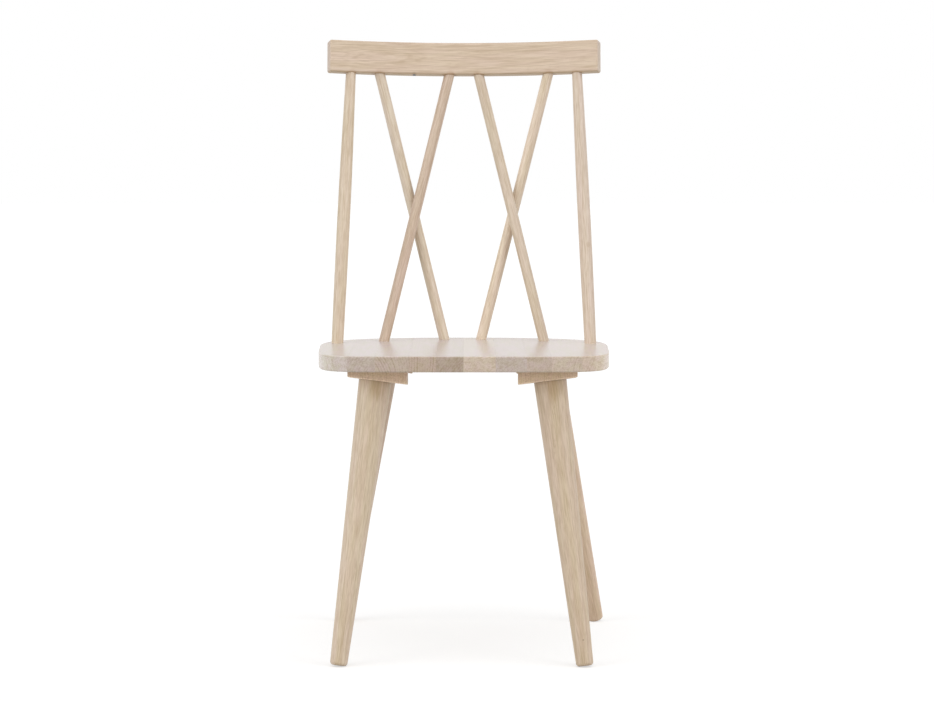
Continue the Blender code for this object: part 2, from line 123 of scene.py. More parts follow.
class Graph:
    """A node tree that is written as plain expressions."""

    def __init__(self, tree):
        self.tree = tree

    def feed(self, socket, value):
        if isinstance(value, bpy.types.NodeSocket):
            self.tree.links.new(value, socket)
        else:
            socket.default_value = value

    def add(self, kind, inputs=None, **settings):
        node = self.tree.nodes.new(kind)
        for setting, value in settings.items():
            setattr(node, setting, value)
        for key, value in (inputs or {}).items():
            self.feed(node.inputs[key], value)
        return node

    def math(self, operation, *values, clamp=False):
        return self.add("ShaderNodeMath", dict(enumerate(values)), operation=operation, use_clamp=clamp).outputs[0]

    def vector(self, operation, *values):
        node = self.add("ShaderNodeVectorMath", dict(enumerate(values)), operation=operation)
        return node.outputs["Value" if operation in ("LENGTH", "DISTANCE", "DOT_PRODUCT") else "Vector"]

    def ramp(self, value, start, end, low=0.0, high=1.0):
        """A soft step from one value to another."""
        node = self.add("ShaderNodeMapRange", {0: value, 1: start, 2: end, 3: low, 4: high},
                        interpolation_type="SMOOTHSTEP")
        return node.outputs[0]

    def noise(self, place, scales, detail=2.0, roughness=0.5):
        """Noise with so many features per metre: on wood, twice across the grain and then along it."""
        stretched = self.vector("MULTIPLY", place, scales)
        return self.add("ShaderNodeTexNoise", {"Vector": stretched, "Scale": 1.0, "Detail": detail,
                                               "Roughness": roughness})

    def patches(self, place, scales, edges=(0.30, 0.70), **detail):
        """Noise whose middle values are drawn apart, so that it falls into patches."""
        return self.ramp(self.noise(place, scales, **detail).outputs[0], *edges)

    def reach(self, place, centre, halves):
        """How far out a place is in an ellipsoid: 0 at its centre and 1 at its surface."""
        offset = self.vector("SUBTRACT", place, tuple(centre))
        return self.vector("LENGTH", self.vector("DIVIDE", offset, tuple(halves)))

    def blend(self, share, first, second):
        return self.add("ShaderNodeMix", {0: share, 6: first, 7: second}, data_type="RGBA").outputs[2]

    def tint(self, share, colour, factors):
        """Multiply a colour, as far as the share says."""
        return self.blend(share, colour, self.vector("MULTIPLY", colour, factors))


def linear(red, green, blue, alpha=1.0):
    """A screen colour, 0 to 255, as the linear light that a material takes."""
    shares = [value / 255 for value in (red, green, blue)]
    return tuple(s / 12.92 if s <= 0.04045 else ((s + 0.055) / 1.055) ** 2.4 for s in shares) + (alpha,)


# The finishes

# Painted sheen: the near white that faces looking up are drawn towards.
top_sheen_white = linear(218, 207, 203)
knot_halo = linear(150, 118, 90)
knot_core = linear(46, 36, 30)

# Darkness runs from 0, early wood, to 1, late wood. The tints multiply the wood's own colour.
mean_darkness = 0.42
early_wood = (1.12, 1.14, 1.17)
late_wood = (0.84, 0.795, 0.72)
# Painted light: the lighter tint on the legs' left and right sides.
side_light_tint = (1.08, 1.10, 1.16)
# Painted highlight: the lighter tint on the front blocks' lower front edges.
arris_highlight_tint = (1.30, 1.35, 1.40)
# Painted shade: the darker tint on leg tops just under the blocks.
contact_shade_tint = (0.80, 0.76, 0.70)
# Browner tint: a real stain on a spindle, and painted shade on each leg's top under its block.
stain_and_shade_tint = (0.80, 0.73, 0.60)
# Browner tint round the rail's socket mouths: partly wax, partly painted shade.
mouth_wax_and_shade_tint = (0.72, 0.58, 0.46)
wax_and_shade_width = 0.006


def new_material(name):
    material = bpy.data.materials.new(name)
    material.use_nodes = True
    return material, Graph(material.node_tree), material.node_tree.nodes["Principled BSDF"]


def growth_rings(graph, grain, spacing, strength):
    """The rings round the heart of the tree: how dark the late wood is, and how far on in its year."""
    wander = graph.vector("SUBTRACT", graph.noise(grain, (20, 20, 2.6)).outputs[1], (0.5, 0.5, 0.5))
    ringed = graph.vector("ADD", grain, graph.vector("MULTIPLY", wander, (0.011, 0.011, 0.0)))
    from_pith = graph.vector("LENGTH", graph.vector("MULTIPLY", ringed, (1.0, 1.0, 0.0)))
    rings = graph.math("DIVIDE", from_pith, spacing)
    year = graph.math("FRACT", rings)
    late = graph.math("MULTIPLY", graph.ramp(year, 0.20, 0.85), graph.ramp(year, 0.88, 1.0, 1.0, 0.0))
    vigour = graph.add("ShaderNodeTexWhiteNoise", {"W": graph.math("FLOOR", rings)}, noise_dimensions="1D")
    late = graph.math("MULTIPLY", late, graph.ramp(vigour.outputs[0], 0.0, 1.0, 0.3, 1.0))
    return graph.math("MULTIPLY", graph.math("SUBTRACT", late, 0.33), strength), year


def figure_lines(graph, reach, streaks, loops, depth):
    """Loops of grain in an ellipsoid, which fade out at its centre and its rim."""
    phase = graph.math("ADD", graph.math("MULTIPLY", reach, loops), graph.math("MULTIPLY", streaks, 0.5))
    lines = graph.ramp(graph.math("SINE", graph.math("MULTIPLY", phase, 2 * math.pi)), -0.2, 1.0)
    lines = graph.math("MULTIPLY", lines, graph.ramp(reach, 0.15, 0.45))
    return graph.math("MULTIPLY", graph.math("MULTIPLY", lines, graph.ramp(reach, 0.6, 1.0, 1.0, 0.0)), depth)


def lime_waxed_wood(name, ring_spacing, sheen_roughness, streak_depth=1.0, fleck_pace=40, hue_spread=1.0,
                    gloss=0.5, end_shade=(0.90, 0.88, 0.86), under_shade=None, marks=(), figures=(), stains_and_shades=(),
                    joints=(), calm_top=False, painted_arris_highlight=False, painted_side_light=False):
    """Pale wood under white wax: growth rings, fibres, pores and a soft bloom of wax, all along the grain.

    Marks are small dark knots, as (centre, half sizes, depth). Figures are loops of grain, as (centre, half sizes,
    loops, depth). Stains and shades are browner patches, as (centre, half sizes, depth): a real stain on a
    spindle, and painted shade on each leg's top under its block. Joints are the mouths of sockets, as (centre,
    radius), round which the wood is browner, partly from wax that collects there and partly painted shade. Fleck
    pace is how many flecks a metre of grain has.
    """
    material, graph, shader = new_material(name)
    grain = graph.add("ShaderNodeAttribute", attribute_name="grain").outputs["Vector"]
    tone = graph.add("ShaderNodeAttribute", attribute_name="tone").outputs
    shade_distance = graph.add("ShaderNodeAttribute", attribute_name="shade_distance").outputs["Fac"]
    along = graph.add("ShaderNodeAttribute", attribute_name="along").outputs["Vector"]
    coordinates = graph.add("ShaderNodeTexCoord").outputs
    place, facing = coordinates["Object"], coordinates["Normal"]
    normal = graph.add("ShaderNodeSeparateXYZ", {0: facing}).outputs
    end_grain = graph.ramp(graph.math("ABSOLUTE", graph.vector("DOT_PRODUCT", facing, along)), 0.55, 0.95)

    late, year = growth_rings(graph, grain, ring_spacing, tone["Alpha"])
    streaks = graph.patches(grain, (210, 210, 4.0))
    sway = graph.math("SUBTRACT", streaks, 0.5)
    flecks = graph.patches(grain, (700, 700, fleck_pace), roughness=0.6)
    fibres = graph.noise(grain, (1100, 1100, 22)).outputs[0]
    bloom = graph.patches(grain, (60, 60, 8))
    hue = graph.patches(grain, (95, 95, 11), (0.32, 0.68), detail=1.0)
    pores = graph.patches(grain, (2300, 2300, 85), (0.60, 0.72), detail=0.0)
    pores = graph.math("MULTIPLY", pores, graph.ramp(year, 0.0, 0.7, 1.0, 0.35))

    darkness = graph.math("MULTIPLY", sway, 0.36 * streak_depth)
    for pattern, middle, depth in ((flecks, 0.5, 0.75), (fibres, 0.5, 0.5), (late, 0.0, 1.0), (bloom, 0.5, 0.20),
                                   (pores, 0.05, 0.35)):
        share = graph.math("MULTIPLY", graph.math("SUBTRACT", pattern, middle), depth)
        darkness = graph.math("ADD", darkness, share)
    for centre, halves, loops, depth in figures:
        lines = figure_lines(graph, graph.reach(place, centre, halves), streaks, loops, depth)
        darkness = graph.math("ADD", darkness, lines)
    body = tone["Color"]
    # Faces that look up get faded grain and a colour drawn towards near white: painted sheen.
    if calm_top:
        darkness = graph.math("MULTIPLY", darkness, graph.ramp(normal[2], 0.6, 0.95, 1.0, 0.09))
        sheened = graph.blend(0.70, body, top_sheen_white)
        body = graph.blend(graph.ramp(normal[2], 0.6, 0.95), body, sheened)
    darkness = graph.math("ADD", darkness, mean_darkness, clamp=True)
    colour = graph.blend(darkness, graph.vector("MULTIPLY", body, early_wood),
                         graph.vector("MULTIPLY", body, late_wood))
    olive = (1 - 0.015 * hue_spread, 1.0, 1 - 0.05 * hue_spread, 1.0)
    rosy = (1 + 0.015 * hue_spread, 1 - 0.005 * hue_spread, 1 + 0.035 * hue_spread, 1.0)
    colour = graph.vector("MULTIPLY", colour, graph.blend(hue, olive, rosy))
    # Faces turned left or right are lighter: painted light.
    if painted_side_light:
        outer = graph.ramp(graph.math("ABSOLUTE", normal[0]), 0.25, 0.60)
        outer = graph.math("MULTIPLY", outer, graph.math("MULTIPLY_ADD", streaks, 0.8, 0.2))
        colour = graph.tint(outer, colour, side_light_tint)
    colour = graph.tint(end_grain, colour, end_shade)

    # Near a covered joint the wood is darker: painted shade, from the leg's distance below its block.
    contact_shade = graph.math("ADD", shade_distance, graph.math("MULTIPLY", sway, 0.016))
    contact_shade = graph.math("MULTIPLY", graph.ramp(contact_shade, 0.002, 0.022, 1.0, 0.0), 0.40)
    colour = graph.tint(contact_shade, colour, contact_shade_tint)
    # Lower front edges are lighter: a painted highlight.
    if painted_arris_highlight:
        arris_highlight = graph.math("MULTIPLY", graph.ramp(normal[2], -0.15, -0.45), graph.ramp(normal[1], -0.15, -0.45))
        colour = graph.tint(arris_highlight, colour, arris_highlight_tint)
    # A real stain on a spindle; on each leg's top under its block, painted shade.
    for centre, halves, depth in stains_and_shades:
        reach = graph.math("ADD", graph.reach(place, centre, halves), graph.math("MULTIPLY", sway, 0.5))
        share = graph.math("MULTIPLY", graph.ramp(reach, 0.35, 1.1, 1.0, 0.0), depth)
        colour = graph.tint(share, colour, stain_and_shade_tint)
    if under_shade:
        colour = graph.tint(graph.ramp(normal[2], -0.3, -0.9), colour, under_shade)
    # Round each socket mouth the wood is browner: partly wax, partly painted shade.
    for centre, radius in joints:
        distance = graph.vector("DISTANCE", place, tuple(centre))
        wax_and_shade = graph.math("MULTIPLY", graph.ramp(distance, radius, radius + wax_and_shade_width, 1.0, 0.0), 0.75)
        colour = graph.tint(wax_and_shade, colour, mouth_wax_and_shade_tint)
    for centre, halves, depth in marks:
        reach = graph.reach(place, centre, halves)
        halo = graph.math("MULTIPLY", graph.ramp(reach, 1.0, 2.0, 1.0, 0.0), 0.35 * depth)
        core = graph.math("MULTIPLY", graph.ramp(reach, 0.6, 1.1, 1.0, 0.0), depth)
        colour = graph.blend(core, graph.blend(halo, colour, knot_halo), knot_core)
    graph.feed(shader.inputs["Base Color"], colour)

    dullness = graph.math("MULTIPLY_ADD", fibres, 0.10, sheen_roughness - 0.05)
    dullness = graph.math("ADD", dullness, graph.math("MULTIPLY", pores, 0.15))
    dullness = graph.math("ADD", dullness, graph.math("MULTIPLY", end_grain, 0.12))
    if calm_top:
        polished = graph.ramp(normal[2], 0.5, 0.9)
        dullness = graph.add("ShaderNodeMix", {0: polished, 2: dullness, 3: sheen_roughness},
                             data_type="FLOAT").outputs[0]
    graph.feed(shader.inputs["Roughness"], dullness)
    shader.inputs["Specular IOR Level"].default_value = gloss

    relief = graph.math("SUBTRACT", graph.math("MULTIPLY", fibres, 0.5), pores)
    relief = graph.math("SUBTRACT", relief, graph.math("MULTIPLY", late, 0.25))
    strength = graph.ramp(normal[2], 0.5, 0.9, 0.25, 0.0) if calm_top else 0.35
    bump = graph.add("ShaderNodeBump", {"Strength": strength, "Distance": 0.00012, "Height": relief})
    graph.feed(shader.inputs["Normal"], bump.outputs[0])
    return material


def plated_metal(name, colour, roughness, scratch_scale=900.0):
    """Plated hardware with fine turning marks and a faint bloom."""
    material, graph, shader = new_material(name)
    place = graph.add("ShaderNodeTexCoord").outputs["Object"]
    scratches = graph.noise(place, (scratch_scale, scratch_scale, scratch_scale * 4), 3.0).outputs[0]
    bloom = graph.patches(place, (120, 120, 120), (0.35, 0.75))
    dulled = tuple(part * share for part, share in zip(colour, (0.72, 0.72, 0.74, 1.0)))
    graph.feed(shader.inputs["Base Color"], graph.blend(bloom, colour, dulled))
    graph.feed(shader.inputs["Roughness"], graph.ramp(scratches, 0.2, 0.8, roughness - 0.08, roughness + 0.12))
    bump = graph.add("ShaderNodeBump", {"Strength": 0.2, "Distance": 0.00005, "Height": scratches})
    graph.feed(shader.inputs["Normal"], bump.outputs[0])
    shader.inputs["Metallic"].default_value = 1.0
    return material


# Putting pieces on the frame

class Grain:
    """How a board was cut: where its length runs, and where the heart of the tree lay."""

    # Each board is moved along the log by its heart, so that no two share a figure.
    log_step = 7

    def __init__(self, origin, along, up, heart, drift=(0.0, 0.0)):
        self.origin = Vector(origin)
        self.along = Vector(along).normalized()
        self.across = self.along.cross(Vector(up)).normalized()
        self.up = self.across.cross(self.along)
        self.heart = heart
        self.drift = drift

    def at(self, point):
        offset = point - self.origin
        length = offset.dot(self.along)
        return (offset.dot(self.across) + self.heart[0] + self.drift[0] * length,
                offset.dot(self.up) + self.heart[1] + self.drift[1] * length,
                length + self.heart[0] * self.log_step)

    def direction(self, point):
        return self.along


def in_the_open(point):
    return 1.0


def dress(node, mesh, material, tone, grain, shade_distance=in_the_open):
    """Stand a finished mesh in for its node, with its own wood.

    The tone's fourth number is the strength of the growth rings. Shade distance is the distance to a covered
    joint; near one, the wood gets painted shade.
    """
    mesh.materials.clear()
    mesh.materials.append(material)
    points = [vertex.co.copy() for vertex in mesh.vertices]
    for name, kind, field, value_at in (("grain", "FLOAT_VECTOR", "vector", grain.at),
                                        ("along", "FLOAT_VECTOR", "vector", grain.direction),
                                        ("tone", "FLOAT_COLOR", "color", lambda point: tone),
                                        ("shade_distance", "FLOAT", "value", lambda point: (shade_distance(point),))):
        mesh.attributes.new(name, kind, "POINT")
        values = [number for point in points for number in value_at(point)]
        mesh.attributes[name].data.foreach_set(field, values)
    piece = bpy.data.objects.new(node + "_wood", mesh)
    bpy.context.scene.collection.objects.link(piece)
    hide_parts(node)
    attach(piece, "root")
    return piece


def workpiece(name, mesh):
    """A piece on the bench, which is removed when its mesh is taken."""
    piece = bpy.data.objects.new(name, mesh)
    bpy.context.scene.collection.objects.link(piece)
    return piece


def frozen(piece):
    """Freeze a workpiece's modifiers into a plain mesh, and clear it off the bench."""
    mesh = bpy.data.meshes.new_from_object(piece.evaluated_get(bpy.context.evaluated_depsgraph_get()))
    bpy.data.objects.remove(piece, do_unlink=True)
    return mesh


def take_mesh(piece, name, flat_faces=False):
    """A workpiece's finished mesh, with its creases sharp and, if asked, its flat faces shaded flat."""
    mesh = frozen(piece)
    mesh.shade_smooth()
    mesh.set_sharp_from_angle(angle=crease_angle)
    if flat_faces:
        even = workpiece(name + "_even", mesh)
        normals = even.modifiers.new("flat_faces", "WEIGHTED_NORMAL")
        normals.keep_sharp = True
        normals.weight = 100
        mesh = frozen(even)
    mesh.name = name
    return mesh


def cut(piece, tool):
    modifier = piece.modifiers.new(tool.name, "BOOLEAN")
    modifier.operation = "DIFFERENCE"
    modifier.solver = "EXACT"
    modifier.object = tool


def along(start, direction):
    return Matrix.Translation(start) @ Vector(direction).to_track_quat("Z", "Y").to_matrix().to_4x4()


def drill_bit(name, start, end, radius, facets=48):
    run = Vector(end) - Vector(start)
    mesh = bpy.data.meshes.new(name)
    shape = bmesh.new()
    bmesh.ops.create_cone(shape, cap_ends=True, segments=facets, radius1=radius, radius2=radius, depth=run.length,
                          matrix=along(start, run) @ Matrix.Translation((0, 0, run.length / 2)))
    shape.to_mesh(mesh)
    shape.free()
    return workpiece(name, mesh)


# Turned sticks: every spindle and leg comes off this lathe.

def lathe_tree(crowding=0.156):
    """A straight turned stick along Z: its radius runs from foot to head, with a swell and rounded ends.

    Crowding draws the stations together at both ends, where the rounding is.
    """
    tree = bpy.data.node_groups.new("turned_stick", "GeometryNodeTree")
    sockets = {}
    for name, kind, default in (("Length", "FLOAT", 0.4), ("Foot Radius", "FLOAT", 0.01),
                                ("Head Radius", "FLOAT", 0.01), ("Swell", "FLOAT", 0.0),
                                ("Foot Rounding", "FLOAT", 0.001), ("Head Rounding", "FLOAT", 0.001),
                                ("Sides", "INT", 48), ("Stations", "INT", 60), ("Wood", "MATERIAL", None)):
        socket = tree.interface.new_socket(name, in_out="INPUT", socket_type="NodeSocket" + kind.title())
        if default is not None:
            socket.default_value = default
        sockets[name] = socket.identifier
    tree.interface.new_socket("Stick", in_out="OUTPUT", socket_type="NodeSocketGeometry")
    graph = Graph(tree)
    given = graph.add("NodeGroupInput").outputs
    end = graph.add("ShaderNodeCombineXYZ", {"Z": given["Length"]}).outputs[0]
    line = graph.add("GeometryNodeCurvePrimitiveLine", {"End": end}).outputs[0]
    line = graph.add("GeometryNodeResampleCurve", {"Curve": line, "Count": given["Stations"]}).outputs[0]

    share = graph.add("GeometryNodeSplineParameter").outputs["Factor"]
    wave = graph.math("MULTIPLY", graph.math("SINE", graph.math("MULTIPLY", share, 2 * math.pi)), crowding)
    height = graph.math("MULTIPLY", graph.math("SUBTRACT", share, wave), given["Length"])
    place = graph.add("ShaderNodeCombineXYZ", {"Z": height}).outputs[0]
    line = graph.add("GeometryNodeSetPosition", {"Geometry": line, "Position": place}).outputs[0]

    height = graph.add("ShaderNodeSeparateXYZ", {0: graph.add("GeometryNodeInputPosition").outputs[0]}).outputs[2]
    share = graph.math("DIVIDE", height, given["Length"])
    taper = graph.math("MULTIPLY", graph.math("SUBTRACT", given["Head Radius"], given["Foot Radius"]), share)
    radius = graph.math("ADD", given["Foot Radius"], taper)
    belly = graph.math("MULTIPLY", graph.math("SINE", graph.math("MULTIPLY", share, math.pi)), given["Swell"])
    radius = graph.math("ADD", radius, belly)
    to_head = graph.math("SUBTRACT", given["Length"], height)
    for rounding, distance in (("Foot Rounding", height), ("Head Rounding", to_head)):
        reach = graph.math("MAXIMUM", graph.math("SUBTRACT", given[rounding], distance), 0.0)
        square = graph.math("SUBTRACT", graph.math("POWER", given[rounding], 2.0), graph.math("POWER", reach, 2.0))
        root = graph.math("SQRT", graph.math("MAXIMUM", square, 0.0))
        radius = graph.math("SUBTRACT", radius, graph.math("SUBTRACT", given[rounding], root))
    line = graph.add("GeometryNodeSetCurveRadius", {"Curve": line, "Radius": radius}).outputs[0]

    ring = graph.add("GeometryNodeCurvePrimitiveCircle", {"Resolution": given["Sides"], "Radius": 1.0}).outputs[0]
    given_radius = graph.add("GeometryNodeInputRadius").outputs[0]
    swept = graph.add("GeometryNodeCurveToMesh", {"Curve": line, "Profile Curve": ring, "Scale": given_radius,
                                                  "Fill Caps": True})
    solid = graph.add("GeometryNodeRealizeInstances", {"Geometry": swept.outputs[0]}).outputs[0]
    painted = graph.add("GeometryNodeSetMaterial", {"Geometry": solid, "Material": given["Wood"]}).outputs[0]
    graph.add("NodeGroupOutput", {0: painted})
    return tree, sockets


def geometry_nodes(piece, tree, sockets, **values):
    modifier = piece.modifiers.new(tree.name, "NODES")
    modifier.node_group = tree
    for name, value in values.items():
        modifier[sockets[name.replace("_", " ").title()]] = value


lathe = lathe_tree()


def turned_stick(name, material, **sizes):
    blank = workpiece(name, bpy.data.meshes.new(name))
    geometry_nodes(blank, *lathe, wood=material, **sizes)
    return take_mesh(blank, name)


# The seat

def seat_outline(points=264):
    """The seat's plan: a square front half that narrows forwards, and a rounder back half."""
    outline = []
    for step in range(points):
        angle = 2 * math.pi * step / points
        rear = math.sin(angle) >= 0
        squareness = seat_back_squareness if rear else seat_front_squareness
        reach = seat_depth - seat_widest_at if rear else seat_widest_at
        across = math.copysign(abs(math.cos(angle)) ** (2 / squareness), math.cos(angle))
        back = math.copysign(abs(math.sin(angle)) ** (2 / squareness), math.sin(angle))
        half_width = seat_width / 2 - seat_front_narrowing * max(0.0, -back)
        outline.append(Vector((across * half_width, seat_widest_at + back * reach, 0)))
    return outline


def seat_back_edge(x):
    across = abs(x) / (seat_width / 2)
    reach = (1 - across ** seat_back_squareness) ** (1 / seat_back_squareness)
    return seat_widest_at + reach * (seat_depth - seat_widest_at)


def seat_panel(rounding_steps=6):
    """The glued panel with its rounded edge, before the sockets are drilled."""
    outline = seat_outline()
    mesh = bpy.data.meshes.new("seat_panel")
    shape = bmesh.new()
    inward = []
    for before, after in zip(outline[-1:] + outline[:-1], outline[1:] + outline[:1]):
        tangent = (after - before).normalized()
        inward.append(Vector((-tangent.y, tangent.x, 0)))
    levels = []
    for step in range(rounding_steps + 1):
        angle = math.pi / 2 * step / rounding_steps
        inset = seat_edge_radius * (1 - math.sin(angle))
        drop = seat_edge_radius * (1 - math.cos(angle))
        levels.append((inset, drop))
    heights = [(inset, seat_height - drop) for inset, drop in levels]
    heights += [(inset, seat_height - seat_thickness + drop) for inset, drop in reversed(levels)]
    rings = []
    for inset, height in heights:
        rings.append([shape.verts.new(point + normal * inset + Vector((0, 0, height)) + to_frame)
                      for point, normal in zip(outline, inward)])
    for upper, lower in zip(rings, rings[1:]):
        for a in range(len(outline)):
            b = (a + 1) % len(outline)
            shape.faces.new((upper[b], upper[a], lower[a], lower[b]))
    shape.faces.new(rings[0])
    shape.faces.new(reversed(rings[-1]))
    bmesh.ops.recalc_face_normals(shape, faces=shape.faces)
    shape.to_mesh(mesh)
    shape.free()
    return workpiece("seat_panel", mesh)


def saw_tree():
    """A saw that cuts one stave out of the seat panel, between two glue joints."""
    tree = bpy.data.node_groups.new("saw_stave", "GeometryNodeTree")
    sockets = {}
    tree.interface.new_socket("Panel", in_out="INPUT", socket_type="NodeSocketGeometry")
    for name, kind in (("Left Joint", "Float"), ("Right Joint", "Float"), ("Wood", "Material")):
        sockets[name] = tree.interface.new_socket(name, in_out="INPUT", socket_type="NodeSocket" + kind).identifier
    tree.interface.new_socket("Stave", in_out="OUTPUT", socket_type="NodeSocketGeometry")
    graph = Graph(tree)
    given = graph.add("NodeGroupInput").outputs
    width = graph.math("SUBTRACT", given["Right Joint"], given["Left Joint"])
    middle = graph.math("MULTIPLY", graph.math("ADD", given["Right Joint"], given["Left Joint"]), 0.5)
    size = graph.add("ShaderNodeCombineXYZ", {"X": width, "Y": 1.0, "Z": 1.0}).outputs[0]
    slab = graph.add("GeometryNodeMeshCube", {"Size": size}).outputs[0]
    place = graph.add("ShaderNodeCombineXYZ", {"X": middle, "Z": seat_height}).outputs[0]
    slab = graph.add("GeometryNodeTransform", {"Geometry": slab, "Translation": place}).outputs[0]
    sawn = graph.add("GeometryNodeMeshBoolean", operation="INTERSECT", solver="EXACT")
    graph.tree.links.new(given["Panel"], sawn.inputs["Mesh 2"])
    graph.tree.links.new(slab, sawn.inputs["Mesh 2"])
    solid = graph.add("GeometryNodeRealizeInstances", {"Geometry": sawn.outputs[0]}).outputs[0]
    painted = graph.add("GeometryNodeSetMaterial", {"Geometry": solid, "Material": given["Wood"]}).outputs[0]
    graph.add("NodeGroupOutput", {0: painted})
    return tree, sockets


# The tones of the wood under the wax. The fourth number is the strength of the growth rings.
spindle_tones = {"outer_spindle_left": linear(215, 197, 174, 0.25),
                 "outer_spindle_right": linear(216, 198, 180, 0.25),
                 "front_cross_spindle_left": linear(206, 184, 164, 0.25),
                 "front_cross_spindle_right": linear(214, 197, 176, 0.25),
                 "rear_cross_spindle_left": linear(220, 204, 184, 0.25),
                 "rear_cross_spindle_right": linear(226, 208, 186, 0.25)}
rail_tone = linear(214, 193, 171, 0.25)
leg_tones = {("front", -1): linear(211, 191, 166, 0.25), ("front", 1): linear(206, 185, 159, 0.40),
             ("rear", -1): linear(213, 188, 161, 0.30), ("rear", 1): linear(213, 188, 161, 0.30)}
block_tone = linear(231, 205, 176, 0.55)
stave_tones = (linear(220, 210, 199, 0.35), linear(209, 196, 185, 0.35), linear(205, 189, 174, 0.95),
               linear(202, 184, 166, 1.00), linear(193, 177, 160, 0.45), linear(222, 206, 189, 0.30),
               linear(210, 197, 186, 0.30), linear(208, 192, 177, 0.30), linear(217, 202, 185, 0.40),
               linear(222, 205, 186, 0.35))

# How far each stave lay from the heart of the tree, sideways and upwards.
stave_hearts = ((0.030, 0.060), (-0.045, 0.050), (0.070, 0.045), (0.160, 0.010), (-0.060, 0.060),
                (0.020, -0.090), (-0.035, 0.070), (0.050, -0.050), (-0.080, 0.040), (0.025, 0.055))


def make_seat(drills):
    # Calm top gives the seat's top a painted sheen.
    wood = lime_waxed_wood("seat_wood", ring_spacing=0.0040, sheen_roughness=0.26, streak_depth=1.4, gloss=0.25,
                           end_shade=(0.87, 0.845, 0.84), calm_top=True)
    panel = seat_panel()
    for drill in drills:
        cut(panel, drill)
    drilled = frozen(panel)
    tree, sockets = saw_tree()
    edges = [joint + to_frame.x for joint in (-seat_width, *seat_joints, seat_width)]
    middle = seat_widest_at + to_frame.y
    for number, (left, right) in enumerate(zip(edges, edges[1:]), start=1):
        name = f"seat_stave_{number}"
        blank = workpiece(name, drilled.copy())
        geometry_nodes(blank, tree, sockets, left_joint=left + glue_line / 2,
                       right_joint=right - glue_line / 2, wood=wood)
        mesh = take_mesh(blank, name, flat_faces=True)
        origin = ((left + right) / 2, middle, seat_height)
        drift = (0.004 * (-1) ** number, 0.02)
        board = Grain(origin, (0, 1, 0), (0, 0, 1), stave_hearts[number - 1], drift)
        dress(name, mesh, wood, stave_tones[number - 1], board)


# The crest rail

crest_half = crest_length / 2
bow_radius = (crest_half ** 2 + crest_bow ** 2) / (2 * crest_bow)


def crest_point(x, rise):
    """A point on the crest rail's middle surface: across the chair, and up the rail from its underside."""
    forward = bow_radius - math.sqrt(bow_radius ** 2 - x ** 2)
    back = seat_depth - crest_from_seat_back - forward * math.cos(crest_lean) + rise * math.sin(crest_lean)
    height = crest_underside_height + forward * math.sin(crest_lean) + rise * math.cos(crest_lean)
    return Vector((x, back, height)) + to_frame


class RailGrain(Grain):
    """The rail was steamed and bent, so its grain follows the bow."""

    # It comes from a stretch of the log that no other board has.
    log_start = 3.0

    def at(self, point):
        x = point.x - to_frame.x
        rise = (point.z - crest_point(x, 0).z) / math.cos(crest_lean)
        depth = (point.y - crest_point(x, rise).y) / math.cos(crest_lean)
        length = bow_radius * math.asin(x / bow_radius)
        return (rise + self.heart[0] + self.drift[0] * length, depth + self.heart[1] + self.drift[1] * length,
                length + self.log_start)

    def direction(self, point):
        turn = math.asin((point.x - to_frame.x) / bow_radius)
        backward = -math.sin(turn)
        return Vector((math.cos(turn), backward * math.cos(crest_lean), -backward * math.sin(crest_lean)))


def make_rail(drills, rods, lengths=72):
    sweep = math.asin(crest_half / bow_radius)
    mesh = bpy.data.meshes.new("crest_rail")
    shape = bmesh.new()
    lower = []
    upper = []
    for step in range(lengths + 1):
        x = bow_radius * math.sin(sweep * (2 * step / lengths - 1))
        lower.append(shape.verts.new(crest_point(x, 0)))
        upper.append(shape.verts.new(crest_point(x, crest_height)))
    for step in range(lengths):
        shape.faces.new((lower[step], lower[step + 1], upper[step + 1], upper[step]))
    shape.to_mesh(mesh)
    shape.free()
    rail = workpiece("crest_rail", mesh)
    wall = rail.modifiers.new("thickness", "SOLIDIFY")
    wall.thickness = crest_thickness
    wall.offset = 0
    wall.use_even_offset = True
    edges = rail.modifiers.new("rounded_edges", "BEVEL")
    edges.width = crest_edge_radius
    edges.segments = 5
    edges.limit_method = "ANGLE"
    edges.angle_limit = math.radians(50.0)
    for drill in drills:
        cut(rail, drill)
    knot = (crest_point(-0.0781, 0), (0.0028, 0.0095, 0.004), 1.0)
    to_front_face = Vector((0, -crest_thickness / 2, 0))
    cathedral = (crest_point(-0.128, 0.027) + to_front_face, (0.090, 0.04, 0.019), 4.0, 0.30)
    mouths = [(crest_point(rod.crest.x - to_frame.x, 0), rod.crest_radius) for rod in rods]
    wood = lime_waxed_wood("rail_wood", ring_spacing=0.0046, sheen_roughness=0.42, streak_depth=0.55,
                           fleck_pace=14, hue_spread=0.45, end_shade=(0.96, 1.0, 1.10),
                           under_shade=(0.84, 0.78, 0.62), marks=[knot], figures=[cathedral], joints=mouths)
    board = RailGrain((0, 0, 0), (1, 0, 0), (0, 1, 0), (-0.018, 0.034), (-0.02, 0.03))
    dress("crest_rail", take_mesh(rail, "crest_rail", flat_faces=True), wood, rail_tone, board)


# The spindles

Rod = namedtuple("Rod", "name seat crest seat_radius crest_radius swell")


def crossing_seat_y(front_seat, front_crest, rear_seat_x, rear_crest, rounds=12):
    """How far back the rear rod stands at the seat, so that it just clears the front rod."""
    wanted = 2 * cross_spindle_radius + joint_gap
    rear_y = front_seat.y + 2 * wanted
    for _ in range(rounds):
        rear_seat = Vector((rear_seat_x, rear_y, front_seat.z))
        near_front, near_rear = intersect_line_line(front_seat, front_crest, rear_seat, rear_crest)
        clearance = math.copysign((near_rear - near_front).length, near_rear.y - near_front.y)
        rear_y += 2 * (wanted - clearance)
    return rear_y


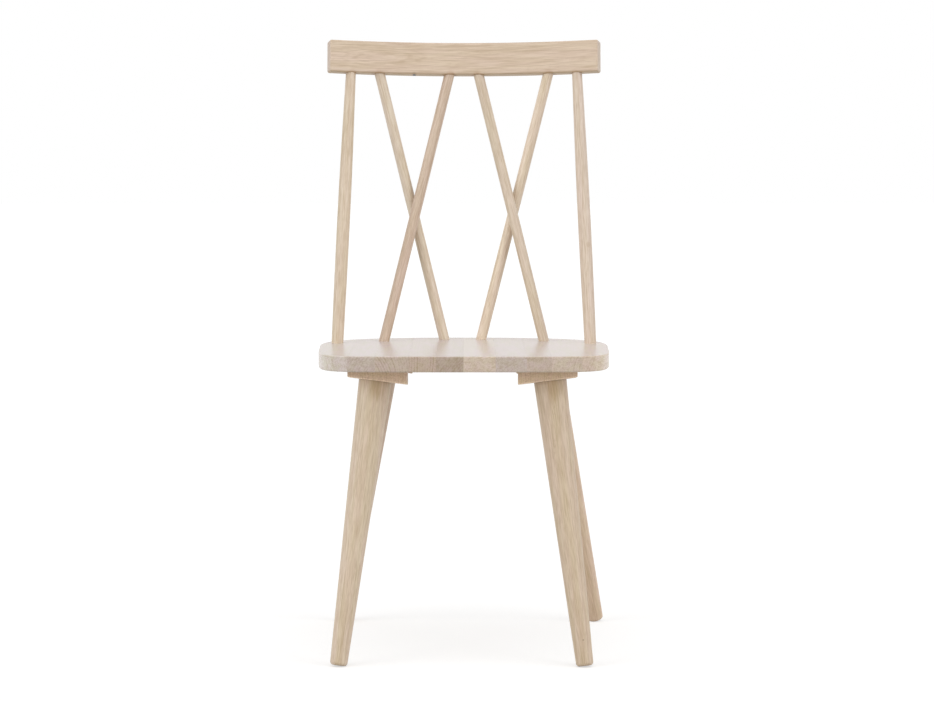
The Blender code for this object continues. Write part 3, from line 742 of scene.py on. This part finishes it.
def spindle_places():
    """Each spindle's name, its place on the seat's top, its middle in the crest, and its sizes."""
    rise = crest_socket_depth / 2
    rods = []
    for side, label in sides.items():
        outer_x = seat_width / 2 - outer_spindle_side_margin
        outer_y = seat_back_edge(outer_x) - outer_spindle_back_margin
        seat = Vector((side * outer_x, outer_y, seat_height)) + to_frame
        crest = crest_point(side * (crest_half - outer_spindle_crest_margin), rise)
        rods.append(Rod("outer_spindle_" + label, seat, crest, outer_spindle_seat_radius,
                        outer_spindle_crest_radius, outer_spindle_swell))
        front_y = seat_back_edge(front_cross_seat_x) - front_cross_back_margin
        seat = Vector((side * front_cross_seat_x, front_y, seat_height)) + to_frame
        crest = crest_point(side * front_cross_crest_x, rise)
        rods.append(Rod("front_cross_spindle_" + label, seat, crest, cross_spindle_radius,
                        cross_spindle_radius, 0.0))
        rear_crest = crest_point(side * rear_cross_crest_x, rise)
        rear_x = side * rear_cross_seat_x + rear_cross_seat_shift + to_frame.x
        rear_y = crossing_seat_y(seat, crest, rear_x, rear_crest)
        rear_seat = Vector((rear_x, rear_y, seat.z))
        rods.append(Rod("rear_cross_spindle_" + label, rear_seat, rear_crest, cross_spindle_radius,
                        cross_spindle_radius, 0.0))
    return rods


def make_spindles(rods):
    """Turn the spindles, and return the drills for their sockets in the seat and the crest."""
    above_seat, below_crest, golden_turn = 0.02, 0.03, 2.4
    marked = next(rod for rod in rods if rod.name == "outer_spindle_right")
    stain = (marked.seat.lerp(marked.crest, 0.355) + Vector((0.004, -0.0089, 0)), (0.0035, 0.01, 0.005), 0.45)
    wood = lime_waxed_wood("spindle_wood", ring_spacing=0.0036, sheen_roughness=0.42, hue_spread=0.5,
                           stains_and_shades=[stain])
    seat_drills = []
    crest_drills = []
    for number, rod in enumerate(rods):
        axis = (rod.crest - rod.seat).normalized()
        foot = rod.seat - axis * (seat_socket_depth - joint_gap)
        head = rod.crest + axis * (crest_socket_depth / 2 - joint_gap)
        mesh = turned_stick(rod.name, wood, length=(head - foot).length, foot_radius=rod.seat_radius,
                            head_radius=rod.crest_radius, swell=rod.swell, sides=56, stations=64)
        mesh.transform(along(foot, axis))
        heart = (0.021 + 0.013 * (number % 3), 0.030 - 0.009 * (number % 4))
        turn = number * golden_turn
        grain = Grain(foot, axis, (math.cos(turn), math.sin(turn), 0), heart, (0.012, -0.008))
        dress(rod.name, mesh, wood, spindle_tones[rod.name], grain)
        seat_drills.append(drill_bit(rod.name + "_seat_drill", rod.seat + axis * above_seat,
                                     rod.seat - axis * seat_socket_depth, rod.seat_radius + socket_play))
        crest_drills.append(drill_bit(rod.name + "_crest_drill", rod.crest - axis * below_crest,
                                      head + axis * joint_gap, rod.crest_radius + socket_play))
    return seat_drills, crest_drills


# The corners: blocks and legs

# How far each leg's middle lay from the heart of the tree, across the grain both ways.
leg_hearts = {("front", -1): (0.016, 0.034), ("front", 1): (0.004, -0.038),
              ("rear", -1): (0.040, 0.018), ("rear", 1): (0.052, 0.010)}


def corner(end, side):
    """One leg's place: the middle of its top, its axis, and the normal of the block's underside."""
    leg = leg_places[end]
    top = Vector((side * leg.x, leg.y, seat_height - seat_thickness - joint_gap - leg.block_thickness)) + to_frame
    side_lean = leg.side_splay + side * leg.skew
    axis = Vector((-side * math.tan(side_lean), -math.tan(leg.rake), 1.0)).normalized()
    underside = Vector((-side * math.tan(leg.side_splay), math.tan(leg.block_tilt), 1.0)).normalized()
    return top, axis, underside


def turned_base():
    """The blocks and legs are worked square to the seat, then turned as one base under it."""
    middle = Matrix.Translation(Vector((0, seat_depth / 2, 0)) + to_frame)
    return middle @ Matrix.Rotation(base_turn, 4, "Z") @ middle.inverted()


base_space = turned_base()


def on_leg(end, side, down, across):
    """A place on the front of a leg: how far down from its top, and how far to the right of its middle."""
    top, axis, _ = corner(end, side)
    slimmer = (leg_top_radius - leg_foot_radius) * down / top.z
    return base_space @ (top - axis * down + Vector((across, slimmer - leg_top_radius, 0)))


def block_drills(top, axis, centre_x, side, upper):
    """The insert's hole, drilled on the leg's axis, and two counterbored screw holes."""
    below, through, overrun = 0.02, 0.04, 0.01
    drills = [drill_bit("insert_drill", top - axis * below, top + axis * through, insert_hole_radius)]
    head_seat = upper - wood_under_screw
    for direction in (-1, 1):
        x = centre_x + side * direction * screw_spread[0]
        y = top.y + direction * screw_spread[1]
        drills.append(drill_bit("counterbore", (x, y, top.z - 0.03), (x, y, head_seat), counterbore_radius, 32))
        drills.append(drill_bit("shank_drill", (x, y, head_seat - overrun), (x, y, upper + overrun),
                                screw_shank_radius, 24))
    return drills


def make_block(end, side, wood):
    name = f"wedge_block_{end}_{sides[side]}"
    top, axis, underside = corner(end, side)
    centre_x = top.x - side * block_inward_shift
    upper = top.z + leg_places[end].block_thickness
    mesh = bpy.data.meshes.new(name)
    shape = bmesh.new()
    bmesh.ops.create_cube(shape, size=1.0)
    for vertex in shape.verts:
        x = centre_x + vertex.co.x * block_width
        y = top.y + vertex.co.y * block_depth
        fall = (underside.x * (x - top.x) + underside.y * (y - top.y)) / underside.z
        vertex.co = (x, y, upper if vertex.co.z > 0 else top.z - fall)
    shape.to_mesh(mesh)
    shape.free()
    block = workpiece(name, mesh)
    edges = block.modifiers.new("eased_edges", "BEVEL")
    edges.width = block_edge_radius
    edges.segments = 4
    edges.limit_method = "ANGLE"
    drills = block_drills(top, axis, centre_x, side, upper)
    for drill in drills:
        cut(block, drill)
    solid = take_mesh(block, name, flat_faces=True)
    for drill in drills:
        bpy.data.objects.remove(drill, do_unlink=True)
    number = 2 * (end == "rear") + (side > 0)
    grain = Grain((centre_x, top.y, upper), (0, 1, 0), (0, 0, 1), (0.075 + 0.02 * number, 0.012), (0.03, 0.02))
    dress(name, solid, wood, block_tone, grain).data.transform(base_space)


def make_leg(end, side, wood, spare_length=0.012):
    """A tapered leg, turned a little too long and sawn at its top to the slope of the block."""
    name = f"leg_{end}_{sides[side]}"
    top, axis, underside = corner(end, side)
    lean = axis.angle(Vector((0, 0, 1)))
    sole_height = (leg_foot_radius - foot_edge_radius) * math.sin(lean) + foot_edge_radius * (1 - math.cos(lean))
    length = (top.z - to_frame.z - sole_height) / math.cos(lean)
    taper = (leg_top_radius - leg_foot_radius) / length
    foot = top - axis * length
    mesh = turned_stick(name, wood, length=length + spare_length, foot_radius=leg_foot_radius,
                        head_radius=leg_top_radius + taper * spare_length, foot_rounding=foot_edge_radius,
                        head_rounding=0.0, sides=72, stations=110)
    mesh.transform(along(foot, axis))
    shape = bmesh.new()
    shape.from_mesh(mesh)
    sawn = bmesh.ops.bisect_plane(shape, geom=shape.verts[:] + shape.edges[:] + shape.faces[:],
                                  plane_co=top - underside * joint_gap, plane_no=underside, clear_outer=True)
    rim = [edge for edge in sawn["geom_cut"] if isinstance(edge, bmesh.types.BMEdge)]
    bmesh.ops.edgeloop_fill(shape, edges=rim)
    bmesh.ops.recalc_face_normals(shape, faces=shape.faces)
    shape.to_mesh(mesh)
    shape.free()
    mesh.set_sharp_from_angle(angle=crease_angle)
    grain = Grain(foot, axis, (0.3, 1, 0), leg_hearts[end, side], (-0.012, 0.02))
    # The leg's distance below its block sets the painted shade at its top.
    piece = dress(name, mesh, wood, leg_tones[end, side], grain, lambda point: (top - point).dot(underside))
    piece.data.transform(base_space)


# Making the chair

rods = spindle_places()
seat_drills, crest_drills = make_spindles(rods)
make_seat(seat_drills)
make_rail(crest_drills, rods)
for drill in seat_drills + crest_drills:
    bpy.data.objects.remove(drill, do_unlink=True)

# The front blocks get a painted highlight on their lower edges.
block_woods = {"front": lime_waxed_wood("front_block_wood", ring_spacing=0.0034, sheen_roughness=0.5,
                                        streak_depth=1.3, painted_arris_highlight=True),
               "rear": lime_waxed_wood("rear_block_wood", ring_spacing=0.0034, sheen_roughness=0.5,
                                       streak_depth=1.3, under_shade=(0.70, 0.68, 0.66))}
# A browner patch on each leg's front just under its block: painted shade.
leg_top_shades = [(on_leg(end, side, 0.010, 0.004), (0.0125, 0.03, 0.025), 0.8)
              for end in leg_places for side in sides]
flame = (on_leg("front", 1, 0.066, -0.002), (0.0065, 0.05, 0.050), 5.0, 0.30)
pin_knot = (on_leg("front", 1, 0.380, 0.002), (0.0012, 0.006, 0.0012), 0.35)
# The legs' sides are lightened: painted light.
leg_wood = lime_waxed_wood("leg_wood", ring_spacing=0.0042, sheen_roughness=0.42, hue_spread=0.7, painted_side_light=True,
                           marks=[pin_knot], stains_and_shades=leg_top_shades, figures=[flame])
for end in leg_places:
    for side in sides:
        make_block(end, side, block_woods[end])
        make_leg(end, side, leg_wood)

zinc = plated_metal("zinc_plate", linear(188, 188, 184), 0.32)
brass = plated_metal("brass_plate", linear(206, 182, 128), 0.30)
for name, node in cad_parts.items():
    if name.startswith(("hanger_bolt", "block_screw", "threaded_insert")):
        finish = brass if name.startswith("threaded_insert") else zinc
        for slot in node.material_slots:
            slot.material = finish


# The studio: a white floor that keeps the chair's shadow, and an even white room

def studio_floor(reach=30.0, paper_colour=(0.62, 0.62, 0.62, 1.0), lift_to_white=0.52):
    mesh = bpy.data.meshes.new("floor")
    mesh.from_pydata([(-reach, -reach, 0), (reach, -reach, 0), (reach, reach, 0), (-reach, reach, 0)], [],
                     [(0, 1, 2, 3)])
    floor = bpy.data.objects.new("floor", mesh)
    bpy.context.scene.collection.objects.link(floor)
    material = bpy.data.materials.new("floor_paper")
    material.use_nodes = True
    graph = Graph(material.node_tree)
    material.node_tree.nodes.clear()
    paper = graph.add("ShaderNodeBsdfDiffuse", {"Color": paper_colour}).outputs[0]
    ray = graph.add("ShaderNodeLightPath").outputs
    seen = graph.math("ADD", ray["Is Camera Ray"], ray["Is Glossy Ray"], clamp=True)
    seen = graph.math("ADD", seen, ray["Is Transmission Ray"], clamp=True)
    lift = graph.add("ShaderNodeEmission", {"Color": (1.0, 1.0, 1.0, 1.0),
                                            "Strength": graph.math("MULTIPLY", seen, lift_to_white)}).outputs[0]
    total = graph.add("ShaderNodeAddShader", {0: paper, 1: lift}).outputs[0]
    graph.add("ShaderNodeOutputMaterial", {"Surface": total})
    mesh.materials.append(material)


def studio_room(light_level=0.57):
    world = bpy.data.worlds.new("white_room")
    bpy.context.scene.world = world
    world.use_nodes = True
    graph = Graph(world.node_tree)
    world.node_tree.nodes.clear()
    ray = graph.add("ShaderNodeLightPath").outputs
    seen = graph.math("ADD", ray["Is Camera Ray"], ray["Is Transmission Ray"], clamp=True)
    seen = graph.math("ADD", seen, ray["Is Glossy Ray"], clamp=True)
    strength = graph.add("ShaderNodeMix", {0: seen, 2: light_level, 3: 1.0}, data_type="FLOAT").outputs[0]
    white = graph.add("ShaderNodeBackground", {"Color": (1.0, 1.0, 1.0, 1.0), "Strength": strength}).outputs[0]
    graph.add("ShaderNodeOutputWorld", {"Surface": white})


def soft_light(name, direction, strength, softness=math.radians(45.0)):
    """A broad lamp, far away in a direction from the chair."""
    lamp = bpy.data.lights.new(name, "SUN")
    lamp.energy = strength
    lamp.angle = softness
    light = bpy.data.objects.new(name, lamp)
    light.rotation_euler = Vector(direction).to_track_quat("Z", "Y").to_euler()
    bpy.context.scene.collection.objects.link(light)


studio_floor()
studio_room()
soft_light("left_light", (-0.92, -0.62, 0.39), 0.87)
soft_light("right_light", (0.92, -0.62, 0.39), 0.84)
soft_light("overhead_light", (0.0, -0.3, 1.0), 0.42)


# The camera

picture_width = 934
focal_pixels = 3114.0
camera_distance = 4.745
camera_height = 0.7765
camera_pitch = math.radians(3.976)
camera_right_pixels = 3.13


def place_camera():
    """A long lens in front of the chair, a little to its right, looking slightly down."""
    lens = bpy.data.cameras.new("camera")
    lens.sensor_width = 36.0
    lens.lens = focal_pixels / picture_width * lens.sensor_width
    lens.clip_end = 200.0
    camera = bpy.data.objects.new("camera", lens)
    bpy.context.scene.collection.objects.link(camera)
    pivot = Vector((0, seat_widest_at, 0)) + to_frame
    sideways = camera_right_pixels / focal_pixels * camera_distance
    camera.location = Vector((pivot.x, pivot.y, camera_height)) + Vector((sideways, -camera_distance, 0))
    forward = Vector((0, math.cos(camera_pitch), -math.sin(camera_pitch)))
    camera.rotation_euler = (-forward).to_track_quat("Z", "Y").to_euler()
    bpy.context.scene.camera = camera


place_camera()
bpy.context.scene.view_settings.view_transform = "Standard"

bpy.context.view_layer.update()
